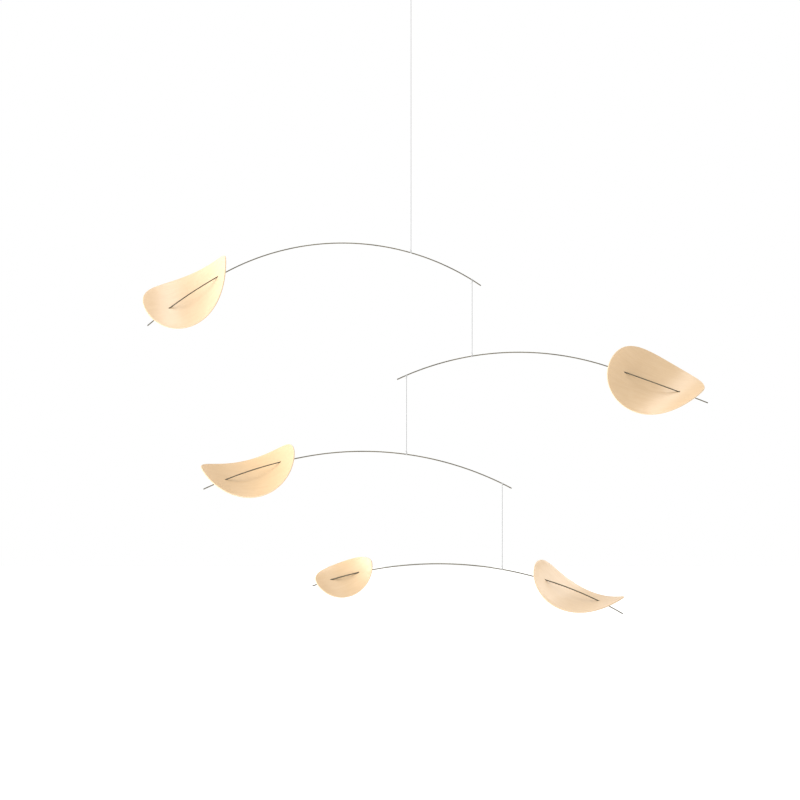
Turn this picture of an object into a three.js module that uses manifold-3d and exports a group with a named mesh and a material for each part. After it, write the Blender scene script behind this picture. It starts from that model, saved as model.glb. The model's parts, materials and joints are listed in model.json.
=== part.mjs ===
// Hanging mobile: four arched steel wires hang one under another on fine clear line and carry five bent
// wooden leaves. Lengths are millimetres and angles are degrees. X runs to the right and Z runs up. The
// wires lie in the XZ plane and the hollow sides of the leaves face -Y. The origin is the point where the
// hanging loop rests on its hook.

import * as THREE from 'three';
import { mergeVertices } from 'three/addons/utils/BufferGeometryUtils.js';
import Module from 'manifold-3d';

const wasm = await Module();
wasm.setup();

// Line and its knots
const lineDiameter = 0.5;
const hangingLength = 343.5; // from the hook to the first wire
const dropToSecondWire = 94;
const dropToThirdWire = 97.7;
const dropToFourthWire = 106;
const hangingLoopHeight = 15;
const hangingLoopWidth = 9;
const knotDiameter = 1.7;
const knotSink = 0.2; // share of the knot's diameter that is bedded in the turns beside it
const turnsRoundWire = 3;
const tieFromWireEnd = 13; // along the wire, from its end to the line that hangs there

// Wires: each is straighter where it runs through a leaf than along its free span
const wireDiameter = 1.4;
const firstWireLength = 449.4;
const secondWireLength = 399;
const thirdWireLength = 395.5;
const fourthWireLength = 398;
const firstSpanRadius = 305;
const firstLeafStretch = 114;
const firstLeafStretchRadius = 569;
const secondSpanRadius = 352;
const secondLeafStretch = 129;
const secondLeafStretchRadius = 2681;
const thirdSpanRadius = 391;
const thirdLeafStretch = 134;
const thirdLeafStretchRadius = 523;
const fourthSpanRadius = 452;

// Climb of each wire at its left end, which sets how the wire hangs
const firstWireClimbAngle = 40.3;
const secondWireClimbAngle = 25.3;
const thirdWireClimbAngle = 25;
const fourthWireClimbAngle = 20.1;

// Leaves
const leafThickness = 1.5;
const leafLength = 134;
const leafWidth = 87;
const leafHoleSpacing = 73;
const smallLeafLength = 80;
const smallLeafWidth = 50;
const smallLeafHoleSpacing = 36;

// Radius that each leaf is bent to
const firstLeafBend = 68;
const secondLeafBend = 70;
const thirdLeafBend = 76;
const fourthLeafBend = 54;
const fifthLeafBend = 79;

// Wire left over beyond each leaf, from its outer hole to the wire's end
const firstWireBeyond = 34.2;
const secondWireBeyond = 37.2;
const thirdWireBeyond = 29.2;
const fourthWireBeyondSmallLeaf = 24;
const fourthWireBeyond = 33;

// Room kept between touching pieces
const runningGap = 0.3;
const wireHoleClearance = 0.35;

// Weights, in kilograms for each cubic millimetre, which decide where each wire balances
const steelDensity = 7850e-9;
const woodDensity = 600e-9;
const firstLeafDensity = 656e-9; // its wood is a little heavier than that of the others

// Outline of every leaf: powers for its round end and its tip, and the sag of its middle line
const roundEndPower = 0.5;
const tipPower = 0.6;
const middleSag = 0.036;

// Fineness of the solids
const roundSides = 8;
const wireSteps = 34;
const lineSteps = 2;
const loopSteps = 24;
const tieSides = 12;
const bumpPoints = 4;
const outlinePoints = 240;
const leafSlices = 56;

// Points closer than this are one point, and a balance is found to within this length
const samePoint = 1e-4;
const balanceError = 1e-6;

// A leaf sits on its wire by its two holes. freeEnd is the wire left over beyond it. In the leaf's own
// plane, turn places the outline on the line of its holes, with along and across as shares of its length;
// skew turns the axis of its bend from square, and roll tips its hollow face up about the wire.
const bigLeaf = {
  length: leafLength, width: leafWidth, holeSpacing: leafHoleSpacing, density: woodDensity,
};
const smallLeaf = {
  length: smallLeafLength, width: smallLeafWidth, holeSpacing: smallLeafHoleSpacing, density: woodDensity,
};
const arms = [
  {
    wire: 'wire_1', side: 'left', climb: firstWireClimbAngle, length: firstWireLength,
    spanRadius: firstSpanRadius, leafStretch: firstLeafStretch, leafRadius: firstLeafStretchRadius,
    drop: hangingLength,
    leaves: [{
      name: 'leaf_1', ...bigLeaf, at: 'left', freeEnd: firstWireBeyond, turn: 1.1,
      along: -0.0307, across: 0.0424, skew: -20.2, roll: 48.7, bendRadius: firstLeafBend,
      density: firstLeafDensity,
    }],
  },
  {
    wire: 'wire_2', side: 'right', climb: secondWireClimbAngle, length: secondWireLength,
    spanRadius: secondSpanRadius, leafStretch: secondLeafStretch, leafRadius: secondLeafStretchRadius,
    drop: dropToSecondWire,
    leaves: [{
      name: 'leaf_2', ...bigLeaf, at: 'right', freeEnd: secondWireBeyond, turn: -1.8,
      along: 0.0229, across: 0.024, skew: -25.6, roll: 30.9, bendRadius: secondLeafBend,
    }],
  },
  {
    wire: 'wire_3', side: 'left', climb: thirdWireClimbAngle, length: thirdWireLength,
    spanRadius: thirdSpanRadius, leafStretch: thirdLeafStretch, leafRadius: thirdLeafStretchRadius,
    drop: dropToThirdWire,
    leaves: [{
      name: 'leaf_3', ...bigLeaf, at: 'left', freeEnd: thirdWireBeyond, turn: -10.8, turnedOver: true,
      along: -0.0208, across: 0.024, skew: 0.7, roll: 58, bendRadius: thirdLeafBend,
    }],
  },
  {
    wire: 'wire_4', side: 'left', climb: fourthWireClimbAngle, length: fourthWireLength,
    spanRadius: fourthSpanRadius, leafStretch: 0, leafRadius: fourthSpanRadius,
    drop: dropToFourthWire,
    leaves: [
      {
        name: 'leaf_4', ...smallLeaf, at: 'left', freeEnd: fourthWireBeyondSmallLeaf, turn: 7.9,
        along: 0.0053, across: 0.0009, skew: 13.7, roll: 30.1, bendRadius: fourthLeafBend,
      },
      {
        name: 'leaf_5', ...bigLeaf, at: 'right', freeEnd: fourthWireBeyond, turn: -16,
        along: 0.0498, across: -0.0106, skew: -16.2, roll: 66.9, bendRadius: fifthLeafBend,
      },
    ],
  },
];

const wireMaterial = new THREE.MeshStandardMaterial({ color: 0xb9b6b0, roughness: 0.35, metalness: 1 });
const woodMaterial = new THREE.MeshStandardMaterial({ color: 0xe9cda3, roughness: 0.6, metalness: 0 });
const lineMaterial = new THREE.MeshStandardMaterial({ color: 0xdcdcda, roughness: 0.3, metalness: 0 });

const radians = THREE.MathUtils.degToRad;

// A wire in its own plane, from its left end: arcs that meet smoothly, each bending down to the right
class BentWire extends THREE.Curve {
  constructor(climb, stretches) {
    super();
    this.climb = radians(climb);
    this.stretches = stretches;
    this.total = stretches.reduce((sum, stretch) => sum + stretch.length, 0);
  }

  // Place and heading after a length of wire
  at(distance) {
    let [x, z, heading, left] = [0, 0, this.climb, distance];
    for (const { length, radius } of this.stretches) {
      const run = Math.min(left, length);
      const after = heading - run / radius;
      x += radius * (Math.sin(heading) - Math.sin(after));
      z += radius * (Math.cos(after) - Math.cos(heading));
      heading = after;
      left -= run;
    }
    return { point: new THREE.Vector3(x, 0, z), heading };
  }

  getPoint(t, target = new THREE.Vector3()) {
    return target.copy(this.at(t * this.total).point);
  }
}

function wirePath(arm) {
  const span = { length: arm.length - arm.leafStretch, radius: arm.spanRadius };
  const underLeaf = { length: arm.leafStretch, radius: arm.leafRadius };
  return new BentWire(arm.climb, arm.side === 'left' ? [underLeaf, span] : [span, underLeaf]);
}

// Round bar along a path
function bar(path, radius, steps) {
  const section = new THREE.Shape();
  for (let side = 0; side < roundSides; side++) {
    const angle = (2 * Math.PI * side) / roundSides;
    const corner = [radius * Math.cos(angle), radius * Math.sin(angle)];
    if (side === 0) section.moveTo(...corner);
    else section.lineTo(...corner);
  }
  return new THREE.ExtrudeGeometry(section, { steps, extrudePath: path, bevelEnabled: false });
}

function toSolid(geometry) {
  const bare = geometry.clone();
  bare.deleteAttribute('normal');
  bare.deleteAttribute('uv');
  const merged = mergeVertices(bare, samePoint);
  return new wasm.Manifold(new wasm.Mesh({
    numProp: 3,
    vertProperties: new Float32Array(merged.attributes.position.array),
    triVerts: new Uint32Array(merged.index.array),
  }));
}

function toGeometry(solid) {
  const mesh = solid.getMesh();
  const geometry = new THREE.BufferGeometry();
  geometry.setAttribute('position', new THREE.BufferAttribute(mesh.vertProperties, mesh.numProp));
  geometry.setIndex(new THREE.BufferAttribute(mesh.triVerts, 1));
  const flat = geometry.toNonIndexed();
  flat.computeVertexNormals();
  return flat;
}

// Volume and centre of a closed shape, summed over the wedges between its faces and the origin
function bulk(geometry) {
  const place = geometry.attributes.position;
  const order = geometry.index;
  const count = order ? order.count : place.count;
  const corner = (k) => new THREE.Vector3().fromBufferAttribute(place, order ? order.getX(k) : k);
  const centre = new THREE.Vector3();
  let volume = 0;
  for (let k = 0; k < count; k += 3) {
    const [a, b, c] = [corner(k), corner(k + 1), corner(k + 2)];
    const wedge = a.dot(b.clone().cross(c)) / 6;
    volume += wedge;
    centre.addScaledVector(a.add(b).add(c), wedge / 4);
  }
  return { volume, centre: centre.divideScalar(volume) };
}

// Flat outline of a leaf in its own plane, round at the left and drawn to a tip at the right
function leafOutline(leaf) {
  const powers = roundEndPower + tipPower;
  const fullest = (roundEndPower / powers) ** roundEndPower * (tipPower / powers) ** tipPower;
  const upper = [];
  const lower = [];
  for (let k = 0; k <= outlinePoints; k++) {
    const share = (1 - Math.cos((Math.PI * k) / outlinePoints)) / 2;
    const half = (leaf.width / 2) * share ** roundEndPower * (1 - share) ** tipPower / fullest;
    const middle = -middleSag * leaf.length * 4 * share * (1 - share);
    const x = (share - 0.5) * leaf.length;
    upper.push(new THREE.Vector2(x, middle + half));
    lower.push(new THREE.Vector2(x, middle - half));
  }
  const outline = [...upper, ...lower.reverse().slice(1, -1)];
  const mirror = leaf.turnedOver ? -1 : 1;
  const onHoles = (p) => new THREE.Vector2(p.x * mirror, p.y)
    .rotateAround(new THREE.Vector2(), radians(leaf.turn))
    .add(new THREE.Vector2(leaf.along, leaf.across).multiplyScalar(leaf.length));
  return outline.map(onHoles);
}

// Lowest and highest point of the outline on a line at the given distance along the bend
function sliceOf(outline, distance) {
  const ends = [];
  outline.forEach((p, k) => {
    const next = outline[(k + 1) % outline.length];
    if ((p.x - distance) * (next.x - distance) > 0 || p.x === next.x) return;
    ends.push(p.y + ((next.y - p.y) * (distance - p.x)) / (next.x - p.x));
  });
  return [Math.min(...ends), Math.max(...ends)];
}

// Sheet cut to the outline and bent round a cylinder. It is a loft of straight slices that run along the
// cylinder, each with four corners. The sheet meets the line of its holes at the two holes.
function bentSheet(leaf, spacing) {
  const skew = radians(leaf.skew);
  const about = new THREE.Vector2();
  const outline = leafOutline(leaf).map((p) => p.rotateAround(about, -skew));
  const reach = outline.map((p) => p.x);
  const [first, last] = [Math.min(...reach), Math.max(...reach)];
  const radius = leaf.bendRadius;
  const holeAngle = Math.asin(((spacing / 2) * Math.cos(skew)) / radius);
  const depth = radius * (1 - Math.cos(holeAngle));
  const corners = [];
  for (let slice = 0; slice < leafSlices; slice++) {
    const share = (1 - Math.cos((Math.PI * (slice + 0.5)) / leafSlices)) / 2;
    const distance = first + (last - first) * share;
    const [low, high] = sliceOf(outline, distance);
    const angle = distance / radius;
    for (const [y, face] of [[low, -1], [high, -1], [high, 1], [low, 1]]) {
      const r = radius - (face * leafThickness) / 2;
      const flat = new THREE.Vector2(r * Math.sin(angle), y).rotateAround(about, skew);
      corners.push(flat.x, flat.y, radius - depth - r * Math.cos(angle));
    }
  }
  const faces = [0, 2, 1, 0, 3, 2];
  const end = (leafSlices - 1) * 4;
  faces.push(end, end + 1, end + 2, end, end + 2, end + 3);
  for (let slice = 0; slice + 1 < leafSlices; slice++) {
    for (let side = 0; side < 4; side++) {
      const [a, b] = [slice * 4 + side, slice * 4 + ((side + 1) % 4)];
      faces.push(a, b, b + 4, a, b + 4, a + 4);
    }
  }
  const geometry = new THREE.BufferGeometry();
  geometry.setAttribute('position', new THREE.Float32BufferAttribute(corners, 3));
  geometry.setIndex(faces);
  return geometry;
}

// Leaf on its wire, with the two holes cut by a rod along the wire
function leafOnWire(leaf, path) {
  const near = leaf.at === 'left' ? leaf.freeEnd : path.total - leaf.freeEnd - leaf.holeSpacing;
  const start = path.at(near).point;
  const finish = path.at(near + leaf.holeSpacing).point;
  const alongWire = finish.clone().sub(start);
  const spacing = alongWire.length();
  alongWire.normalize();
  const toViewer = new THREE.Vector3(0, -1, 0);
  const upFlat = toViewer.clone().cross(alongWire);
  const roll = radians(leaf.roll);
  const up = upFlat.clone().multiplyScalar(Math.cos(roll)).addScaledVector(toViewer, -Math.sin(roll));
  const out = upFlat.clone().multiplyScalar(Math.sin(roll)).addScaledVector(toViewer, Math.cos(roll));
  const pose = new THREE.Matrix4().makeBasis(alongWire, up, out);
  pose.setPosition(start.clone().add(finish).multiplyScalar(0.5));
  const sheet = bentSheet(leaf, spacing).applyMatrix4(pose);
  const rod = bar(path, wireDiameter / 2 + wireHoleClearance, wireSteps);
  return toGeometry(toSolid(sheet).subtract(toSolid(rod)));
}

function knotAt(height) {
  const knot = new THREE.SphereGeometry(knotDiameter / 2, roundSides, roundSides - 2);
  knot.rotateX(Math.PI / 2);
  return knot.translate(0, 0, height);
}

// Turns of line round a wire and a knot above or below them. The wire runs along the tie's X.
const tieInside = wireDiameter / 2 + runningGap;
const tieOutside = tieInside + lineDiameter;
const knotHeight = tieOutside + knotDiameter * (0.5 - knotSink);
function tie(heading, knotSide) {
  const profile = [new THREE.Vector2(tieInside, -(turnsRoundWire * lineDiameter) / 2)];
  for (let turn = 0; turn < turnsRoundWire; turn++) {
    const middle = (turn - (turnsRoundWire - 1) / 2) * lineDiameter;
    for (let k = 1; k < bumpPoints; k++) {
      const angle = (Math.PI * k) / bumpPoints;
      const out = tieInside + (lineDiameter / 2) * (1 + Math.sin(angle));
      profile.push(new THREE.Vector2(out, middle - (lineDiameter / 2) * Math.cos(angle)));
    }
  }
  profile.push(new THREE.Vector2(tieInside, (turnsRoundWire * lineDiameter) / 2), profile[0].clone());
  const turns = new THREE.LatheGeometry(profile, tieSides);
  turns.rotateZ(-Math.PI / 2);
  turns.rotateY(-heading);
  return toGeometry(toSolid(turns).add(toSolid(knotAt(knotSide * knotHeight))));
}

// Straight line between two heights, kept clear of the knots it runs between
function straightLine(top, bottom) {
  const route = new THREE.LineCurve3(new THREE.Vector3(0, 0, top), new THREE.Vector3(0, 0, bottom));
  return bar(route, lineDiameter / 2, lineSteps);
}

// Loop of line that hangs on the hook, closed by a knot below it. Its right half is given from the knot
// up, as shares of half its width and of the knot's depth.
const loopKnotHeight = lineDiameter / 2 - hangingLoopHeight;
const loopHalf = [[0, 1], [0.55, 0.7], [1, 0.32], [0.62, 0.04]];
function hangingLoop() {
  const onSide = (sign) => loopHalf.map(([across, down]) => (
    new THREE.Vector3((sign * across * hangingLoopWidth) / 2, 0, down * loopKnotHeight)
  ));
  const top = new THREE.Vector3(0, 0, lineDiameter / 2);
  const route = new THREE.CatmullRomCurve3([...onSide(1), top, ...onSide(-1).reverse()]);
  return toGeometry(toSolid(bar(route, lineDiameter / 2, loopSteps)).add(toSolid(knotAt(loopKnotHeight))));
}

function named(name, geometry, material) {
  const mesh = new THREE.Mesh(geometry, material);
  mesh.name = name;
  return mesh;
}

// Wires and leaves, weighed from the lowest arm up, so that each arm hangs where it balances
const hungBelow = { mass: 0, x: 0 };
for (const arm of [...arms].reverse()) {
  arm.path = wirePath(arm);
  arm.wireShape = bar(arm.path, wireDiameter / 2, wireSteps);
  arm.leafShapes = arm.leaves.map((leaf) => leafOnWire(leaf, arm.path));
  arm.tieDistance = arm.side === 'left' ? arm.length - tieFromWireEnd : tieFromWireEnd;
  arm.lowerTie = arm.path.at(arm.tieDistance);
  const weights = [[arm.wireShape, steelDensity]];
  arm.leaves.forEach((leaf, k) => weights.push([arm.leafShapes[k], leaf.density]));
  let mass = hungBelow.mass;
  let moment = hungBelow.mass * arm.lowerTie.point.x;
  for (const [shape, density] of weights) {
    const { volume, centre } = bulk(shape);
    mass += volume * density;
    moment += volume * density * centre.x;
  }
  hungBelow.mass = mass;
  arm.balance = moment / mass;
  let [from, to] = [0, arm.length];
  while (to - from > balanceError) {
    const middle = (from + to) / 2;
    if (arm.path.at(middle).point.x < arm.balance) from = middle;
    else to = middle;
  }
  arm.hungFrom = arm.path.at(from);
}

const mobile = new THREE.Group();
mobile.add(named('hanging_loop', hangingLoop(), lineMaterial));

// Each arm hangs on its line from a point of the arm above, and the first one from the loop
const knotReach = knotHeight + knotDiameter / 2 + runningGap;
let above = mobile;
let aboveKnot = loopKnotHeight - knotDiameter / 2 - runningGap;
arms.forEach((arm, index) => {
  const number = index + 1;
  above.add(named(`line_${number}`, straightLine(aboveKnot, knotReach - arm.drop), lineMaterial));
  const group = new THREE.Group();
  group.position.set(0, 0, -arm.drop);
  above.add(group);
  group.add(named(`tie_${number}_lower`, tie(arm.hungFrom.heading, 1), lineMaterial));
  const carried = new THREE.Group();
  carried.position.copy(arm.hungFrom.point).negate();
  group.add(carried);
  carried.add(named(arm.wire, arm.wireShape, wireMaterial));
  arm.leaves.forEach((leaf, k) => carried.add(named(leaf.name, arm.leafShapes[k], woodMaterial)));
  if (number < arms.length) {
    const next = new THREE.Group();
    next.position.copy(arm.lowerTie.point);
    carried.add(next);
    next.add(named(`tie_${number + 1}_upper`, tie(arm.lowerTie.heading, -1), lineMaterial));
    above = next;
    aboveKnot = -knotReach;
  }
});

export default mobile;
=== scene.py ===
import json
import math

import bmesh
import bpy
from mathutils import Matrix, Vector


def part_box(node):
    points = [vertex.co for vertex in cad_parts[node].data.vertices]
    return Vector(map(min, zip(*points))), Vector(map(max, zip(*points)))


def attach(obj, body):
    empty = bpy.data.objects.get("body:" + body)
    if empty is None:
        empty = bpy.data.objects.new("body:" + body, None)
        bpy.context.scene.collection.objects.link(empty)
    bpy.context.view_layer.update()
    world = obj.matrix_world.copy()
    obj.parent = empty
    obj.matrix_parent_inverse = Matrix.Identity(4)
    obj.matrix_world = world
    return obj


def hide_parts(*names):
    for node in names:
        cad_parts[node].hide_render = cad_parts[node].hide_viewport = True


# Looks of a hanging mobile: bent wooden leaves on arched steel wires, hung one under another on clear line.
# Everything is in metres. X runs to the right, Z up, and the camera looks along +Y.

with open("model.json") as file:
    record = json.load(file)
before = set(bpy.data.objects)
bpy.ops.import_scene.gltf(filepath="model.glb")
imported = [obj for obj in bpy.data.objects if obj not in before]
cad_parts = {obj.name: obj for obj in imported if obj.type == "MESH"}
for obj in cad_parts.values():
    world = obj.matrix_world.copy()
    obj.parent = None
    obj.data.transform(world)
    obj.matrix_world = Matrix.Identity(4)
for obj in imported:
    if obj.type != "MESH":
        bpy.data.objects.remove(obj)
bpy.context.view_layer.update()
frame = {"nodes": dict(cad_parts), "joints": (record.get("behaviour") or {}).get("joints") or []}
mm = 0.001
weld = 1e-7
cornerAngle = math.radians(60)

swivels = {joint["child"]: Vector(joint["pos_m"]) for joint in frame["joints"]}
print("frame loaded:", len(frame["nodes"]), "nodes,", len(swivels), "swivels")


def putInScene(name, data):
    obj = bpy.data.objects.new(name, data)
    bpy.context.scene.collection.objects.link(obj)
    return obj


def finishMesh(name, bm, materials):
    mesh = bpy.data.meshes.new(name)
    bm.to_mesh(mesh)
    bm.free()
    for material in materials:
        mesh.materials.append(material)
    return putInScene(name, mesh)


# Camera

cameraSettings = {
    "place": (-0.0136, -10.0, -0.5253),
    "lens": 364.3,
    "sensor": 36.0,
}


def makeCamera(settings):
    data = bpy.data.cameras.new("photo_camera")
    data.lens = settings["lens"]
    data.sensor_width = settings["sensor"]
    camera = putInScene("photo_camera", data)
    camera.location = settings["place"]
    camera.rotation_euler = (math.radians(90), 0, 0)
    bpy.context.scene.camera = camera


makeCamera(cameraSettings)
print("camera made")


# Shader maths: a socket that takes the usual operators

class Sock:
    def __init__(self, tree, out):
        self.tree = tree
        self.out = out

    def mathNode(self, operation, other, swapped=False):
        pair = (other, self) if swapped else (self, other)
        return self.tree.add("Math", {"operation": operation}, {0: pair[0], 1: pair[1]})

    def __add__(self, other):
        return self.mathNode("ADD", other)

    def __radd__(self, other):
        return self.mathNode("ADD", other, True)

    def __sub__(self, other):
        return self.mathNode("SUBTRACT", other)

    def __mul__(self, other):
        return self.mathNode("MULTIPLY", other)

    def __rmul__(self, other):
        return self.mathNode("MULTIPLY", other, True)


class Tree:
    def __init__(self, name):
        self.material = bpy.data.materials.new(name)
        self.material.use_nodes = True
        self.nodes = self.material.node_tree.nodes
        self.links = self.material.node_tree.links
        self.surface = self.nodes["Principled BSDF"]

    # Adds a node: its settings first, then the values or links of its sockets
    def add(self, kind, settings=None, sockets=None, output=0):
        node = self.nodes.new("ShaderNode" + kind)
        for key, value in (settings or {}).items():
            setattr(node, key, value)
        for key, value in (sockets or {}).items():
            self.feed(node.inputs[key], value)
        return Sock(self, node.outputs[output])

    def feed(self, socket, value):
        if isinstance(value, Sock):
            self.links.new(value.out, socket)
        else:
            socket.default_value = value

    def set(self, **values):
        for key, value in values.items():
            self.feed(self.surface.inputs[key.replace("_", " ")], value)

    def mixColour(self, factor, a, b, blend="MIX"):
        settings = {"data_type": "RGBA", "blend_type": blend}
        return self.add("Mix", settings, {0: factor, 6: a, 7: b}, output=2)

    def scaled(self, vector, scale):
        return self.add("Mapping", None, {"Vector": vector, "Scale": scale})

    def noise(self, vector, scale, detail=2.0, roughness=0.5, distortion=0.0):
        sockets = {
            "Vector": vector, "Scale": scale, "Detail": detail,
            "Roughness": roughness, "Distortion": distortion,
        }
        return self.add("TexNoise", None, sockets)

    def smooth(self, value, low, high, toLow=0.0, toHigh=1.0):
        sockets = {0: value, 1: low, 2: high, 3: toLow, 4: toHigh}
        return self.add("MapRange", {"interpolation_type": "SMOOTHSTEP"}, sockets)


def rgb(red, green, blue):
    return (red, green, blue, 1)


# Finishes

woodFinish = {
    "pale": rgb(0.785, 0.595, 0.395),
    "warm": rgb(0.735, 0.54, 0.342),
    "deep": rgb(0.84, 0.75, 0.57),
    "fleck": rgb(0.56, 0.38, 0.215),
    "rim": rgb(0.64, 0.46, 0.28),
    "roughness": 0.38,
    "grainWidth": 1.1 * mm,
    "grainLength": 38 * mm,
    "figureWidth": 11 * mm,
    "fleckWidth": 0.22 * mm,
    "fleckLength": 3.2 * mm,
    "relief": 0.02 * mm,
    "fleckShare": 0.35,
    "rimShare": 0.3,
}
edgeFinish = {
    "core": rgb(0.58, 0.41, 0.25),
    "ply": rgb(0.80, 0.62, 0.42),
    "roughness": 0.62,
    "relief": 0.03 * mm,
    "fibres": 900,
}
# Darker than such steel, so that the wires look as dark from afar as they do in the photo
steelFinish = {
    "bright": rgb(0.172, 0.157, 0.115),
    "dull": rgb(0.105, 0.095, 0.07),
    "roughness": (0.24, 0.42),
    "drawWidth": 0.05 * mm,
    "drawLength": 14 * mm,
    "relief": 0.004 * mm,
    "handled": 28,
}
# Darker than clear line, which would be lost against white
lineFinish = {
    "clear": rgb(0.13, 0.13, 0.13),
    "cloud": rgb(0.18, 0.18, 0.18),
    "roughness": 0.22,
    "cloudSize": 6 * mm,
}
# Turns laid side by side scatter more light than a single run of the line
turnsFinish = {
    "clear": rgb(0.42, 0.42, 0.41),
    "cloud": rgb(0.52, 0.52, 0.51),
    "roughness": 0.26,
    "cloudSize": 3 * mm,
}


# Sliced veneer, flat sawn: arched figure, close grain, short flecks, and a toned edge
def makeWoodFinish(finish):
    tree = Tree("pale_veneer")
    flat = tree.add("UVMap", {"uv_map": "flat"})
    figureScale = (1 / finish["grainLength"], 1 / finish["figureWidth"], 1)
    wander = tree.noise(tree.scaled(flat, figureScale), 0.55, detail=2.0)
    grainScale = (1 / finish["grainLength"], 1 / finish["grainWidth"], 1)
    drift = tree.add("CombineXYZ", None, {1: (wander - 0.5) * 9.0})
    grainPlace = tree.add("VectorMath", {"operation": "ADD"}, {0: tree.scaled(flat, grainScale), 1: drift})
    grain = tree.noise(grainPlace, 1.0, detail=4.0, roughness=0.62)
    broad = tree.noise(tree.scaled(flat, figureScale), 1.7, detail=2.0, distortion=0.6)
    fleckScale = (1 / finish["fleckLength"], 1 / finish["fleckWidth"], 1)
    flecks = tree.noise(tree.scaled(flat, fleckScale), 1.0, detail=1.0)
    fleckMask = tree.smooth(flecks, 0.62, 0.74)
    figure = tree.smooth(grain * 0.6 + broad * 0.4, 0.36, 0.64)
    figured = tree.mixColour(figure, finish["pale"], finish["warm"])
    tone = tree.add("Attribute", {"attribute_name": "tone"}, output=2)
    body = tree.mixColour(tone, figured, finish["deep"], blend="MULTIPLY")
    flecked = tree.mixColour(fleckMask * finish["fleckShare"], body, finish["fleck"])
    nearRim = tree.add("Attribute", {"attribute_name": "rim"}, output=2)
    toned = tree.mixColour(nearRim * nearRim * finish["rimShare"], flecked, finish["rim"])
    height = grain * 0.5 - fleckMask * 0.8
    bump = tree.add("Bump", None, {"Strength": 0.5, "Distance": finish["relief"], "Height": height})
    roughness = finish["roughness"] + (grain - 0.5) * 0.12 + fleckMask * 0.1
    tree.set(Base_Color=toned, Roughness=roughness, Normal=bump)
    return tree.material


# Cut edge and bored holes: three plies, the middle one across the grain and darker
def makeEdgeFinish(finish):
    tree = Tree("veneer_edge")
    depth = tree.add("Attribute", {"attribute_name": "depth"}, output=2)
    flat = tree.add("UVMap", {"uv_map": "flat"})
    fibres = tree.noise(tree.scaled(flat, (finish["fibres"], finish["fibres"], 1)), 1.0, detail=2.0)
    core = tree.smooth(depth, 0.14, 0.2) - tree.smooth(depth, 0.8, 0.86)
    plies = tree.mixColour(core * 0.75, finish["ply"], finish["core"])
    streaked = tree.mixColour(tree.smooth(fibres, 0.4, 0.7) * 0.45, plies, finish["core"])
    bump = tree.add("Bump", None, {"Strength": 0.5, "Distance": finish["relief"], "Height": fibres})
    tree.set(Base_Color=streaked, Roughness=finish["roughness"] + (fibres - 0.5) * 0.2, Normal=bump)
    return tree.material


# Drawn spring steel: fine lines along the wire, and duller stretches where hands have held it
def makeSteelFinish(finish):
    tree = Tree("drawn_steel")
    place = tree.add("UVMap", {"uv_map": "along"})
    drawScale = (1 / finish["drawLength"], 1 / finish["drawWidth"], 1)
    drawn = tree.noise(tree.scaled(place, drawScale), 1.0, detail=3.0, roughness=0.6)
    handled = tree.noise(tree.scaled(place, (finish["handled"], finish["handled"], 1)), 1.0, detail=3.0)
    dull = tree.smooth(handled, 0.42, 0.66)
    shade = drawn * 0.45 + dull * 0.55
    low, high = finish["roughness"]
    bump = tree.add("Bump", None, {"Strength": 0.4, "Distance": finish["relief"], "Height": drawn})
    colour = tree.mixColour(shade, finish["bright"], finish["dull"])
    tree.set(Base_Color=colour, Metallic=1.0, Roughness=low + (high - low) * shade, Normal=bump)
    return tree.material


# Clear line, slightly clouded
def makeLineFinish(name, finish):
    tree = Tree(name)
    place = tree.add("TexCoord", None, None, output=3)
    cloud = tree.noise(place, 1 / finish["cloudSize"], detail=3.0)
    colour = tree.mixColour(tree.smooth(cloud, 0.35, 0.65), finish["clear"], finish["cloud"])
    roughness = finish["roughness"] + (cloud - 0.5) * 0.2
    tree.set(Base_Color=colour, Roughness=roughness)
    return tree.material


wood = makeWoodFinish(woodFinish)
woodEdge = makeEdgeFinish(edgeFinish)
steel = makeSteelFinish(steelFinish)
clearLine = makeLineFinish("clear_line", lineFinish)
clearTurns = makeLineFinish("clear_turns", turnsFinish)
print("finishes made")


# Line: straight runs between the ties, each a free cord that the weight below holds taut

lineSettings = {
    "diameter": 0.5 * mm,
    "points": 16,
    "sides": 3,
}


def lineCurve(name, routes, diameter, sides, finish):
    data = bpy.data.curves.new(name, "CURVE")
    data.dimensions = "3D"
    data.bevel_depth = diameter / 2
    data.bevel_resolution = sides
    data.use_fill_caps = True
    for route in routes:
        spline = data.splines.new("POLY")
        spline.points.add(len(route) - 1)
        for point, place in zip(spline.points, route):
            point.co = (*place, 1)
        spline.use_smooth = True
    data.materials.append(finish)
    return putInScene(name, data)


def straightRoute(start, end, points):
    return [start.lerp(end, k / (points - 1)) for k in range(points)]


def endsOf(node):
    low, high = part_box(node)
    middle = (low + high) / 2
    return Vector((middle.x, middle.y, low.z)), Vector((middle.x, middle.y, high.z))


def makeLine(node, body, startsBelow):
    bottom, top = endsOf(node)
    start, end = (bottom, top) if startsBelow else (top, bottom)
    diameter = lineSettings["diameter"]
    route = straightRoute(start, end, lineSettings["points"])
    line = lineCurve(node + "_run", [route], diameter, lineSettings["sides"], clearLine)
    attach(line, body)
    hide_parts(node)


# Knots and loop of line, as turns laid side by side
knotSettings = {
    "turnsRoundWire": 3.5,
    "turnsRoundLine": 3.5,
    "pitch": 0.52 * mm,
    "pointsPerTurn": 14,
    "wireRoom": 0.04 * mm,
    "reach": 3.16 * mm,
    "tag": 1.1 * mm,
    "loopWidth": 9 * mm,
    "loopHeight": 15 * mm,
    "loopPoints": 44,
    "loopNarrowing": 0.28,
    "footSink": 0.4,
    "reachInside": 0.3 * mm,
    "tagSteps": 5,
    "sides": 2,
}


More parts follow.
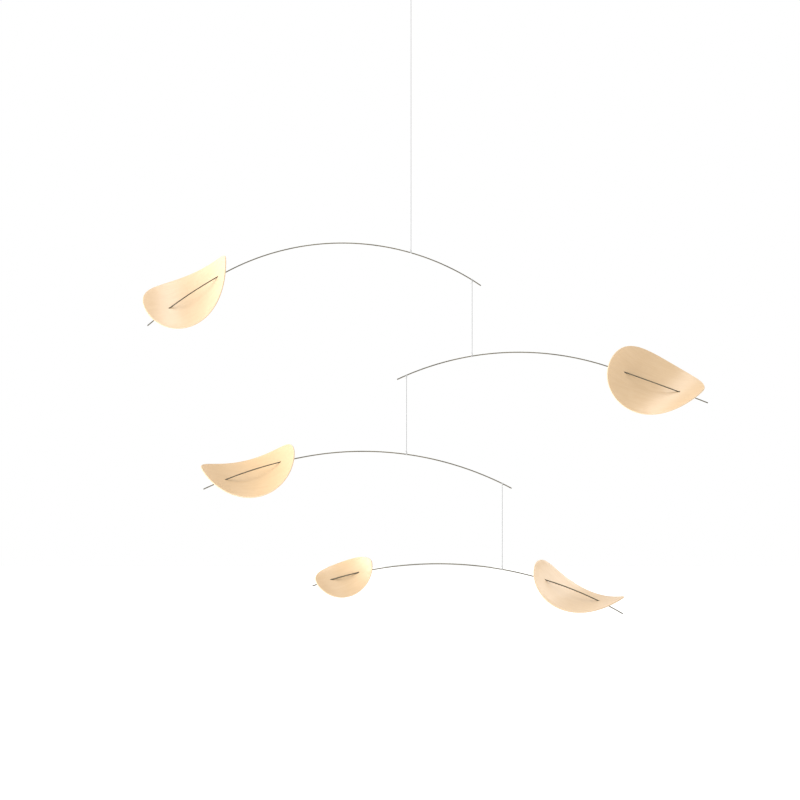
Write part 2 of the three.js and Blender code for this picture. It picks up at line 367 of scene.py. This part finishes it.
# Turns round an axis, from phase, which is an angle about it that starts at first
def turnsAbout(centre, axis, first, radius, turns, pitch, phase=0.0):
    second = axis.cross(first)
    count = int(turns * knotSettings["pointsPerTurn"]) + 1
    route = []
    for k in range(count):
        angle = 2 * math.pi * turns * k / (count - 1)
        along = pitch * (angle / (2 * math.pi) - turns / 2)
        spoke = first * math.cos(angle + phase) + second * math.sin(angle + phase)
        route.append(centre + axis * along + spoke * radius)
    return route


def softRoute(points, steps):
    route = []
    for k in range(len(points) - 1):
        before = points[max(k - 1, 0)]
        after = points[min(k + 2, len(points) - 1)]
        for step in range(steps):
            t = step / steps
            pull = (points[k + 1] - before) / 2
            push = (after - points[k]) / 2
            route.append(
                points[k] * (2 * t ** 3 - 3 * t ** 2 + 1) + pull * (t ** 3 - 2 * t ** 2 + t)
                + points[k + 1] * (3 * t ** 2 - 2 * t ** 3) + push * (t ** 3 - t ** 2)
            )
    return route + [points[-1]]


# Turns round the standing line, with the line's own stretch inside them and a short cut end
def knotRoutes(foot, up, coreStart, coreEnd):
    half = lineSettings["diameter"] / 2
    turns = knotSettings["turnsRoundLine"]
    pitch = knotSettings["pitch"]
    middle = foot + up * (pitch * turns / 2 + half)
    side = Vector((1, 0, 0))
    wraps = turnsAbout(middle, up, side, 2 * half, turns, pitch)
    out = (wraps[-1] - middle - up * (wraps[-1] - middle).dot(up)).normalized()
    aside = up.cross(out)
    tag = [
        wraps[-1],
        wraps[-1] + aside * half * 2 + out * half,
        wraps[-1] + aside * half * 3 + out * knotSettings["tag"] * 0.5 + up * half * 2,
        wraps[-1] + aside * half * 3 + out * knotSettings["tag"] + up * half * 5,
    ]
    return [wraps[:-1] + softRoute(tag, knotSettings["tagSteps"]), [coreStart, coreEnd]]


def makeTie(node, body, heading, wireDiameter, side):
    low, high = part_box(node)
    upright = Vector((0, 0, side))
    half = lineSettings["diameter"] / 2
    wireAxis = Vector((math.cos(heading), 0, math.sin(heading)))
    inside = wireDiameter / 2 + knotSettings["wireRoom"]
    # The turns are centred on the wire, and the knot stands out of them on one side
    turnReach = inside + lineSettings["diameter"]
    far = high.z if side > 0 else low.z
    within = knotSettings["reach"] - knotSettings["reachInside"]
    centre = Vector(((low.x + high.x) / 2, 0, far - side * within))
    outward = (upright - wireAxis * upright.dot(wireAxis)).normalized()
    turns = knotSettings["turnsRoundWire"]
    winding = turnsAbout(
        centre, wireAxis, outward, inside + half, turns, knotSettings["pitch"], phase=-math.pi * turns,
    )
    foot = centre + upright * (turnReach - half * knotSettings["footSink"])
    core = [centre + upright * (inside + half), centre + upright * knotSettings["reach"]]
    routes = [winding, *knotRoutes(foot, upright, *core)]
    curve = lineCurve(node + "_turns", routes, lineSettings["diameter"], knotSettings["sides"], clearTurns)
    tie = asMesh(curve)
    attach(tie, body)
    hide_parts(node)


# The shown shape of a curve as a mesh piece of the same name
def asMesh(curve):
    name = curve.name
    graph = bpy.context.evaluated_depsgraph_get()
    mesh = bpy.data.meshes.new_from_object(curve.evaluated_get(graph))
    bpy.data.objects.remove(curve)
    bm = bmesh.new()
    bm.from_mesh(mesh)
    bmesh.ops.remove_doubles(bm, verts=bm.verts[:], dist=weld)
    bmesh.ops.recalc_face_normals(bm, faces=bm.faces[:])
    for face in bm.faces:
        face.smooth = len(face.verts) == 4
    bm.to_mesh(mesh)
    bm.free()
    return putInScene(name, mesh)


def makeLoop(node, body):
    low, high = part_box(node)
    half = lineSettings["diameter"] / 2
    top = high.z - half
    foot = Vector((0, 0, top - knotSettings["loopHeight"]))
    route = []
    for k in range(knotSettings["loopPoints"] + 1):
        angle = 2 * math.pi * k / knotSettings["loopPoints"]
        rise = (1 - math.cos(angle)) / 2
        across = math.sin(angle) * (1 - knotSettings["loopNarrowing"] * math.cos(angle)) * rise ** 0.25
        width, height = knotSettings["loopWidth"], knotSettings["loopHeight"]
        route.append(foot + Vector((across * width / 2, 0, rise * height)))
    lineTop = endsOf("line_1")[1]
    turnsFoot = foot + Vector((0, 0, half))
    down = Vector((0, 0, -1))
    routes = [route, *knotRoutes(turnsFoot, down, foot, lineTop)]
    curve = lineCurve(node + "_line", routes, lineSettings["diameter"], knotSettings["sides"], clearLine)
    loop = asMesh(curve)
    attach(loop, body)
    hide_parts(node)
    return loop


hangingLoop = makeLoop("hanging_loop", "hanging_line")
makeLine("line_1", "hanging_line", True)
makeLine("line_2", "arm_1", False)
makeLine("line_3", "arm_2", False)
makeLine("line_4", "arm_3", False)
print("lines made")


# Wires: arcs that meet smoothly, from the left end, each bending down to the right

wireSettings = {
    "diameter": 1.4 * mm,
    "sides": 16,
    "stepLength": 3 * mm,
    "endRounding": 0.5 * mm,
    "roundingSteps": 4,
    "holeRoom": 0.35 * mm,
    "tieFromEnd": 13 * mm,
}
arms = {
    "arm_1": {
        "wire": "wire_1", "climb": 40.3, "leafSide": "left",
        "leafStretch": (114 * mm, 569 * mm), "span": (335.4 * mm, 305 * mm),
    },
    "arm_2": {
        "wire": "wire_2", "climb": 25.3, "leafSide": "right",
        "leafStretch": (129 * mm, 2681 * mm), "span": (270 * mm, 352 * mm),
    },
    "arm_3": {
        "wire": "wire_3", "climb": 25, "leafSide": "left",
        "leafStretch": (134 * mm, 523 * mm), "span": (261.5 * mm, 391 * mm),
    },
    "arm_4": {
        "wire": "wire_4", "climb": 20.1, "leafSide": "left",
        "leafStretch": (0, 452 * mm), "span": (398 * mm, 452 * mm),
    },
}


class WirePath:
    def __init__(self, arm, swivel):
        stretches = [arm["leafStretch"], arm["span"]]
        if arm["leafSide"] == "right":
            stretches.reverse()
        self.stretches = [stretch for stretch in stretches if stretch[0] > 0]
        self.climb = math.radians(arm["climb"])
        self.length = sum(length for length, radius in self.stretches)
        self.origin = Vector((0, 0, 0))
        low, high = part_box(arm["wire"])
        left = low.x + wireSettings["diameter"] / 2 * math.sin(self.climb)
        self.swivelAt = self.distanceAt(swivel.x - left)
        self.origin = Vector((left, 0, swivel.z - self.at(self.swivelAt)[0].z))

    # Place and heading after a length of wire
    def at(self, distance):
        x, z, heading, remaining = self.origin.x, self.origin.z, self.climb, distance
        for length, radius in self.stretches:
            run = min(remaining, length)
            after = heading - run / radius
            x += radius * (math.sin(heading) - math.sin(after))
            z += radius * (math.cos(after) - math.cos(heading))
            heading = after
            remaining -= run
        return Vector((x, 0, z)), heading

    def distanceAt(self, x):
        near, far = 0.0, self.length
        while far - near > weld:
            middle = (near + far) / 2
            if self.at(middle)[0].x < x:
                near = middle
            else:
                far = middle
        return near


# A round bar spun along the arcs. Its UV map holds the distance along it and the way round it.
def spunBar(path, diameter, sides):
    bm = bmesh.new()
    start, heading = path.at(0)
    facing = Matrix.Rotation(math.pi / 2 - heading, 4, "Y")
    bmesh.ops.create_circle(
        bm, cap_ends=True, radius=diameter / 2, segments=sides, matrix=Matrix.Translation(start) @ facing,
    )
    walked = 0.0
    leading = bm.faces[:]
    for length, radius in path.stretches:
        point, heading = path.at(walked)
        hub = point + radius * Vector((math.sin(heading), 0, -math.cos(heading)))
        spun = bmesh.ops.spin(
            bm, geom=leading + [edge for face in leading for edge in face.edges]
            + [vert for face in leading for vert in face.verts],
            cent=hub, axis=(0, 1, 0), angle=length / radius,
            steps=max(2, round(length / wireSettings["stepLength"])), use_merge=False, use_duplicate=False,
        )
        leading = [item for item in spun["geom_last"] if isinstance(item, bmesh.types.BMFace)]
        walked += length
    bmesh.ops.remove_doubles(bm, verts=bm.verts[:], dist=weld)
    bmesh.ops.recalc_face_normals(bm, faces=bm.faces[:])
    return bm


def alongAndRound(path, place):
    distance = path.distanceAt(place.x)
    point, heading = path.at(distance)
    normal = Vector((-math.sin(heading), 0, math.cos(heading)))
    return distance, math.atan2(place.y, (place - point).dot(normal))


def makeWire(name, body, path):
    diameter = wireSettings["diameter"]
    bm = spunBar(path, diameter, wireSettings["sides"])
    rims = [
        edge for edge in bm.edges
        if len(edge.link_faces) == 2 and edge.calc_face_angle() > cornerAngle
    ]
    bmesh.ops.bevel(
        bm, geom=rims, offset=wireSettings["endRounding"], affect="EDGES",
        segments=wireSettings["roundingSteps"], profile=0.5, material=-1,
    )
    uv = bm.loops.layers.uv.new("along")
    for face in bm.faces:
        face.smooth = True
        spots = [alongAndRound(path, loop.vert.co) for loop in face.loops]
        crossing = max(turn for _, turn in spots) - min(turn for _, turn in spots) > math.pi
        for loop, (distance, turn) in zip(face.loops, spots):
            lifted = turn + 2 * math.pi if crossing and turn < 0 else turn
            loop[uv].uv = (distance, lifted * diameter / 2)
    wire = finishMesh(name + "_drawn", bm, [steel])
    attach(wire, body)
    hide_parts(name)


paths = {}
for body, arm in arms.items():
    paths[body] = WirePath(arm, swivels[body])
    makeWire(arm["wire"], body, paths[body])
    print(arm["wire"], "spun,", round(paths[body].length / mm, 1), "mm long")

# Ties: where each arm hangs, and where it carries the next
for number, (body, path) in enumerate(paths.items(), 1):
    heading = path.at(path.swivelAt)[1]
    makeTie(f"tie_{number}_lower", body, heading, wireSettings["diameter"], 1)
    if number < len(paths):
        fromEnd = wireSettings["tieFromEnd"]
        spot = path.length - fromEnd if arms[body]["leafSide"] == "left" else fromEnd
        makeTie(f"tie_{number + 1}_upper", body, path.at(spot)[1], wireSettings["diameter"], -1)
print("ties wound")


# Leaves: veneer cut to one outline, bent round a cylinder and threaded on the wire through two holes

leafSettings = {
    "thickness": 1.5 * mm,
    "roundEndPower": 0.5,
    "tipPower": 0.6,
    "middleSag": 0.036,
    "outlineSteps": 224,
    "sliceWidth": 2.2 * mm,
    "sliceLength": 9 * mm,
    "rimWidth": 1.3 * mm,
    "edgeRounding": 0.34 * mm,
    "roundingSteps": 3,
    "closest": 0.5 * mm,
    "holeSides": 24,
    "flatFrom": 0.995,
    "nextGrain": (0.21, 0.13),
}
bigLeaf = {"length": 134 * mm, "width": 87 * mm, "holeSpacing": 73 * mm}
smallLeaf = {"length": 80 * mm, "width": 50 * mm, "holeSpacing": 36 * mm}
leaves = {
    "leaf_1": {
        **bigLeaf, "body": "arm_1", "at": "left", "freeEnd": 34.2 * mm, "turn": 1.1, "along": -0.0307,
        "across": 0.0424, "skew": -20.2, "roll": 48.7, "bendRadius": 68 * mm,
        "tone": 0.08, "turnedOver": False,
    },
    "leaf_2": {
        **bigLeaf, "body": "arm_2", "at": "right", "freeEnd": 37.2 * mm, "turn": -1.8, "along": 0.0229,
        "across": 0.024, "skew": -25.6, "roll": 30.9, "bendRadius": 70 * mm,
        "tone": 0.4, "turnedOver": False,
    },
    "leaf_3": {
        **bigLeaf, "body": "arm_3", "at": "left", "freeEnd": 29.2 * mm, "turn": -10.8, "along": -0.0208,
        "across": 0.024, "skew": 0.7, "roll": 58, "bendRadius": 76 * mm,
        "tone": 0.75, "turnedOver": True,
    },
    "leaf_4": {
        **smallLeaf, "body": "arm_4", "at": "left", "freeEnd": 24 * mm, "turn": 7.9, "along": 0.0053,
        "across": 0.0009, "skew": 13.7, "roll": 30.1, "bendRadius": 54 * mm,
        "tone": 0.42, "turnedOver": False,
    },
    "leaf_5": {
        **bigLeaf, "body": "arm_4", "at": "right", "freeEnd": 33 * mm, "turn": -16, "along": 0.0498,
        "across": -0.0106, "skew": -16.2, "roll": 66.9, "bendRadius": 79 * mm,
        "tone": 0.05, "turnedOver": False,
    },
}


# A circle drawn out to the leaf's outline: round at one end and to a tip at the other
def flatLeaf(leaf):
    settings = leafSettings
    roundPower, tipPower = settings["roundEndPower"], settings["tipPower"]
    powers = roundPower + tipPower
    fullest = (roundPower / powers) ** roundPower * (tipPower / powers) ** tipPower
    bm = bmesh.new()
    bmesh.ops.create_circle(bm, cap_ends=True, radius=1, segments=settings["outlineSteps"])
    for vert in bm.verts:
        share = min(max((1 + vert.co.x) / 2, 0), 1)
        half = leaf["width"] / 2 * share ** roundPower * (1 - share) ** tipPower / fullest
        side = math.copysign(1, vert.co.y) if half > 1e-6 else 0
        middle = -settings["middleSag"] * leaf["length"] * 4 * share * (1 - share)
        vert.co = ((share - 0.5) * leaf["length"], middle + side * half, 0)
    return bm


def sliceFlat(bm, direction, step):
    reach = [vert.co.dot(direction) for vert in bm.verts]
    low, high = min(reach), max(reach)
    cuts = max(2, round((high - low) / step))
    for k in range(1, cuts):
        bmesh.ops.bisect_plane(
            bm, geom=bm.verts[:] + bm.edges[:] + bm.faces[:], dist=weld,
            plane_co=direction * (low + (high - low) * k / cuts), plane_no=direction,
        )


# Where a point of the flat leaf lies on the leaf's own plane, with the line of its holes along X
def onHoles(leaf, point):
    mirrored = Vector((-point.x if leaf["turnedOver"] else point.x, point.y))
    mirrored.rotate(Matrix.Rotation(math.radians(leaf["turn"]), 2))
    return mirrored + Vector((leaf["along"], leaf["across"])) * leaf["length"]


# Height of the bend's own axis above the line of the holes
def axisHeight(leaf, spacing):
    reach = spacing / 2 * math.cos(math.radians(leaf["skew"]))
    return math.sqrt(leaf["bendRadius"] ** 2 - reach ** 2)


def bendLeaf(leaf, bm, spacing):
    skew = Matrix.Rotation(math.radians(leaf["skew"]), 2)
    height = axisHeight(leaf, spacing)
    for vert in bm.verts:
        across = skew.inverted() @ onHoles(leaf, vert.co)
        angle = across.x / leaf["bendRadius"]
        r = leaf["bendRadius"] - vert.co.z
        place = skew @ Vector((r * math.sin(angle), across.y))
        vert.co = (place.x, place.y, height - r * math.cos(angle))


# Flat place of a point of the bent leaf, along the leaf's own grain, and its depth in the sheet
def unbent(leaf, point, spacing):
    skew = Matrix.Rotation(math.radians(leaf["skew"]), 2)
    across = skew.inverted() @ Vector((point.x, point.y))
    drop = axisHeight(leaf, spacing) - point.z
    flat = skew @ Vector((leaf["bendRadius"] * math.atan2(across.x, drop), across.y))
    flat.rotate(Matrix.Rotation(-math.radians(leaf["turn"]), 2))
    return flat, leaf["bendRadius"] - math.hypot(across.x, drop)


def leafPose(leaf, path):
    near = leaf["freeEnd"] if leaf["at"] == "left" else path.length - leaf["freeEnd"] - leaf["holeSpacing"]
    start = path.at(near)[0]
    finish = path.at(near + leaf["holeSpacing"])[0]
    alongWire = (finish - start).normalized()
    toViewer = Vector((0, -1, 0))
    upright = toViewer.cross(alongWire)
    roll = math.radians(leaf["roll"])
    up = upright * math.cos(roll) - toViewer * math.sin(roll)
    out = upright * math.sin(roll) + toViewer * math.cos(roll)
    pose = Matrix((alongWire, up, out)).transposed().to_4x4()
    pose.translation = (start + finish) / 2
    return pose, (finish - start).length


def makeLeaf(name, leaf, number):
    settings = leafSettings
    path = paths[leaf["body"]]
    pose, spacing = leafPose(leaf, path)
    bm = flatLeaf(leaf)
    bmesh.ops.remove_doubles(bm, verts=bm.verts[:], dist=settings["closest"])
    rim = bm.verts.layers.float.new("rim")
    bmesh.ops.inset_region(bm, faces=bm.faces[:], thickness=settings["rimWidth"], use_even_offset=True)
    for vert in bm.verts:
        vert[rim] = 1.0 if vert.is_boundary else 0.0
    bendWay = math.radians(leaf["skew"] - leaf["turn"])
    across = Vector((math.cos(bendWay), math.sin(bendWay), 0))
    if leaf["turnedOver"]:
        across.x = -across.x
    sliceFlat(bm, across, settings["sliceWidth"])
    sliceFlat(bm, Vector((-across.y, across.x, 0)), settings["sliceLength"])
    bmesh.ops.remove_doubles(bm, verts=bm.verts[:], dist=settings["closest"])
    grown = bmesh.ops.extrude_face_region(bm, geom=bm.faces[:])
    back = [item for item in grown["geom"] if isinstance(item, bmesh.types.BMVert)]
    bmesh.ops.translate(bm, verts=bm.verts[:], vec=(0, 0, settings["thickness"] / 2))
    bmesh.ops.translate(bm, verts=back, vec=(0, 0, -settings["thickness"]))
    bmesh.ops.recalc_face_normals(bm, faces=bm.faces[:])
    corners = [edge for edge in bm.edges if edge.calc_face_angle() > cornerAngle]
    bmesh.ops.bevel(
        bm, geom=corners, offset=settings["edgeRounding"], affect="EDGES",
        segments=settings["roundingSteps"], profile=0.5, material=-1, clamp_overlap=True,
    )
    bmesh.ops.recalc_face_normals(bm, faces=bm.faces[:])
    for face in bm.faces:
        face.material_index = 0 if abs(face.normal.z) > settings["flatFrom"] else 1
    bendLeaf(leaf, bm, spacing)
    bmesh.ops.transform(bm, matrix=pose, verts=bm.verts[:])
    bmesh.ops.recalc_face_normals(bm, faces=bm.faces[:])
    sheet = finishMesh(name + "_sheet", bm, [wood, woodEdge])
    leafPiece = boreForWire(sheet, name + "_veneer", path)
    mapLeaf(leafPiece.data, leaf, pose.inverted(), spacing, number)
    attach(leafPiece, leaf["body"])
    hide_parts(name)
    return leafPiece


# The grain's UV map, each point's depth in the sheet and the leaf's own tone
def mapLeaf(mesh, leaf, toOwnPlane, spacing, number):
    bm = bmesh.new()
    bm.from_mesh(mesh)
    flat = bm.loops.layers.uv.new("flat")
    depth = bm.verts.layers.float.new("depth")
    tone = bm.verts.layers.float.new("tone")
    apartX, apartY = leafSettings["nextGrain"]
    for vert in bm.verts:
        place, level = unbent(leaf, toOwnPlane @ vert.co, spacing)
        vert[depth] = level / leafSettings["thickness"] + 0.5
        vert[tone] = leaf["tone"]
        for loop in vert.link_loops:
            loop[flat].uv = (place.x + apartX * number, place.y + apartY * number)
    bm.to_mesh(mesh)
    bm.free()


holeMark = bpy.data.materials.new("hole_mark")


# The two holes, bored along the wire. The bit's own material tells the holes' walls from the sheet.
def boreForWire(sheet, name, path):
    diameter = wireSettings["diameter"] + 2 * wireSettings["holeRoom"]
    bit = finishMesh(name + "_bit", spunBar(path, diameter, leafSettings["holeSides"]), [holeMark])
    cut = sheet.modifiers.new("bore", "BOOLEAN")
    cut.operation = "DIFFERENCE"
    cut.solver = "EXACT"
    cut.object = bit
    cut.material_mode = "TRANSFER"
    graph = bpy.context.evaluated_depsgraph_get()
    mesh = bpy.data.meshes.new_from_object(sheet.evaluated_get(graph))
    mesh.name = name
    bpy.data.objects.remove(bit)
    bpy.data.objects.remove(sheet)
    mark = mesh.materials.find(holeMark.name)
    bm = bmesh.new()
    bm.from_mesh(mesh)
    for edge in bm.edges:
        edge.smooth = sum(face.material_index == mark for face in edge.link_faces) != 1
    # The walls then take the sheet's edge finish
    for face in bm.faces:
        face.smooth = True
        if face.material_index == mark:
            face.material_index = 1
    bm.to_mesh(mesh)
    bm.free()
    mesh.materials.pop(index=mark)
    return putInScene(name, mesh)


for number, (name, leaf) in enumerate(leaves.items()):
    piece = makeLeaf(name, leaf, number)
    print(name, "bent and bored,", len(piece.data.polygons), "faces")
bpy.data.materials.remove(holeMark)


# Stage: a pale floor well below, and plain soft light

stageSettings = {
    "floorDrop": 1.35,
    "floorSize": 60.0,
    "floorColour": rgb(0.93, 0.93, 0.93),
    "floorGlow": 0.57,
    "floorRoughness": 0.9,
    "surround": rgb(1.0, 1.0, 1.0),
    "surroundLight": 0.79,
    "surroundSeen": 1.0,
}
lamps = {
    "left": {"place": (-2.4, 0, -0.45), "size": 2.3, "power": 81},
    "above": {"place": (0, 0, 1.85), "size": 1.4, "power": 27},
    "behind": {"place": (1.5, 1.6, 0.55), "size": 1.4, "power": 12},
}
stageAim = Vector((0, 0, -0.55))


def makeFloor(settings):
    bm = bmesh.new()
    bmesh.ops.create_grid(bm, x_segments=1, y_segments=1, size=settings["floorSize"] / 2)
    bmesh.ops.translate(bm, verts=bm.verts[:], vec=(0, 0, -settings["floorDrop"]))
    tree = Tree("pale_floor")
    tree.set(Base_Color=settings["floorColour"], Roughness=settings["floorRoughness"])
    tree.set(Emission_Color=settings["floorColour"], Emission_Strength=settings["floorGlow"])
    floor = finishMesh("floor", bm, [tree.material])


def makeSurround(settings):
    world = bpy.data.worlds.new("studio")
    world.use_nodes = True
    bpy.context.scene.world = world
    nodes, links = world.node_tree.nodes, world.node_tree.links
    background = nodes["Background"]
    background.inputs["Color"].default_value = settings["surround"]
    ray = nodes.new("ShaderNodeLightPath")
    spread = nodes.new("ShaderNodeMapRange")
    spread.inputs["To Min"].default_value = settings["surroundLight"]
    spread.inputs["To Max"].default_value = settings["surroundSeen"]
    links.new(ray.outputs["Is Camera Ray"], spread.inputs["Value"])
    links.new(spread.outputs["Result"], background.inputs["Strength"])


def makeLamp(name, settings):
    data = bpy.data.lights.new(name, "AREA")
    data.shape = "DISK"
    data.size = settings["size"]
    data.energy = settings["power"]
    lamp = putInScene(name, data)
    lamp.visible_camera = False
    place = Vector(settings["place"])
    lamp.location = place
    lamp.rotation_mode = "QUATERNION"
    lamp.rotation_quaternion = (stageAim - place).to_track_quat("-Z", "Y")


makeFloor(stageSettings)
makeSurround(stageSettings)
for name, settings in lamps.items():
    makeLamp(name, settings)
bpy.context.scene.view_settings.view_transform = "Standard"
print("stage and light made")
